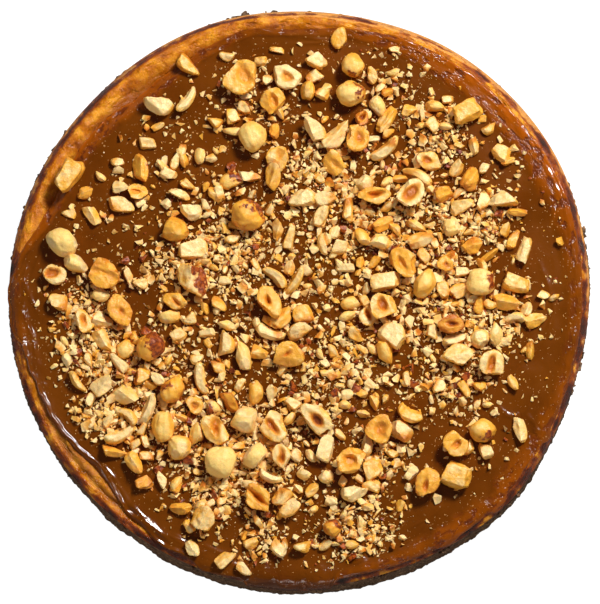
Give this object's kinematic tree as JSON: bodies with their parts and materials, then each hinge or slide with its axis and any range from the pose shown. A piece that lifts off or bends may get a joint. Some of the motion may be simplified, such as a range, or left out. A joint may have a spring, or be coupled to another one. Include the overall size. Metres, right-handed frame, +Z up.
{
  "type": "cheesecake",
  "caption": "Round baked cheesecake with a dark biscuit crumb crust, a browned rim and a caramel top strewn with whole, halved and chopped roasted hazelnuts.",
  "frame": {"origin": "bottom centre of the cake, on the flat underside of the crust", "axes": "+Z up, +Y away from the viewer of the picture, +X to the right in it"},
  "size_m": [0.2311, 0.2316, 0.0589],
  "materials": {
    "crust_crumb": "dark, dry, crumbly baked biscuit",
    "baked_filling": "smooth baked filling, browned and scorched at the rim",
    "caramel": "wet, glossy, slightly translucent caramel",
    "roasted_hazelnut": "satin roasted kernel with toasted patches and shreds of dark skin"
  },
  "bodies": {
    "root": {"caramel": "caramel", "cheesecake": "baked_filling", "crumb_crust": "crust_crumb", "hazelnut_block_01": "roasted_hazelnut", "hazelnut_block_02": "roasted_hazelnut", "hazelnut_block_03": "roasted_hazelnut", "hazelnut_block_04": "roasted_hazelnut", "hazelnut_block_05": "roasted_hazelnut", "hazelnut_crescent_01": "roasted_hazelnut", "hazelnut_dome_01": "roasted_hazelnut", "hazelnut_dome_02": "roasted_hazelnut", "hazelnut_dome_03": "roasted_hazelnut", "hazelnut_dome_04": "roasted_hazelnut", "hazelnut_dome_05": "roasted_hazelnut", "hazelnut_half_01": "roasted_hazelnut", "hazelnut_half_02": "roasted_hazelnut", "hazelnut_half_03": "roasted_hazelnut", "hazelnut_half_04": "roasted_hazelnut", "hazelnut_half_05": "roasted_hazelnut", "hazelnut_half_06": "roasted_hazelnut", "hazelnut_half_07": "roasted_hazelnut", "hazelnut_half_08": "roasted_hazelnut", "hazelnut_half_09": "roasted_hazelnut", "hazelnut_half_10": "roasted_hazelnut", "hazelnut_half_11": "roasted_hazelnut", "hazelnut_half_12": "roasted_hazelnut", "hazelnut_half_13": "roasted_hazelnut", "hazelnut_half_14": "roasted_hazelnut", "hazelnut_half_15": "roasted_hazelnut", "hazelnut_half_16": "roasted_hazelnut", "hazelnut_half_17": "roasted_hazelnut", "hazelnut_half_18": "roasted_hazelnut", "hazelnut_half_19": "roasted_hazelnut", "hazelnut_half_20": "roasted_hazelnut", "hazelnut_half_21": "roasted_hazelnut", "hazelnut_half_22": "roasted_hazelnut", "hazelnut_segment_01": "roasted_hazelnut", "hazelnut_segment_02": "roasted_hazelnut", "hazelnut_segment_03": "roasted_hazelnut", "hazelnut_segment_04": "roasted_hazelnut", "hazelnut_segment_05": "roasted_hazelnut", "hazelnut_slab_01": "roasted_hazelnut", "hazelnut_slab_02": "roasted_hazelnut", "hazelnut_wedge_01": "roasted_hazelnut", "hazelnut_wedge_02": "roasted_hazelnut", "hazelnut_wedge_03": "roasted_hazelnut", "hazelnut_whole_01": "roasted_hazelnut", "hazelnut_whole_02": "roasted_hazelnut", "hazelnut_whole_03": "roasted_hazelnut", "hazelnut_whole_04": "roasted_hazelnut", "hazelnut_whole_05": "roasted_hazelnut", "hazelnut_whole_06": "roasted_hazelnut", "hazelnut_whole_07": "roasted_hazelnut", "hazelnut_whole_08": "roasted_hazelnut", "hazelnut_whole_09": "roasted_hazelnut", "hazelnut_whole_10": "roasted_hazelnut", "hazelnut_whole_11": "roasted_hazelnut", "hazelnut_whole_12": "roasted_hazelnut"}
  },
  "joints": []
}
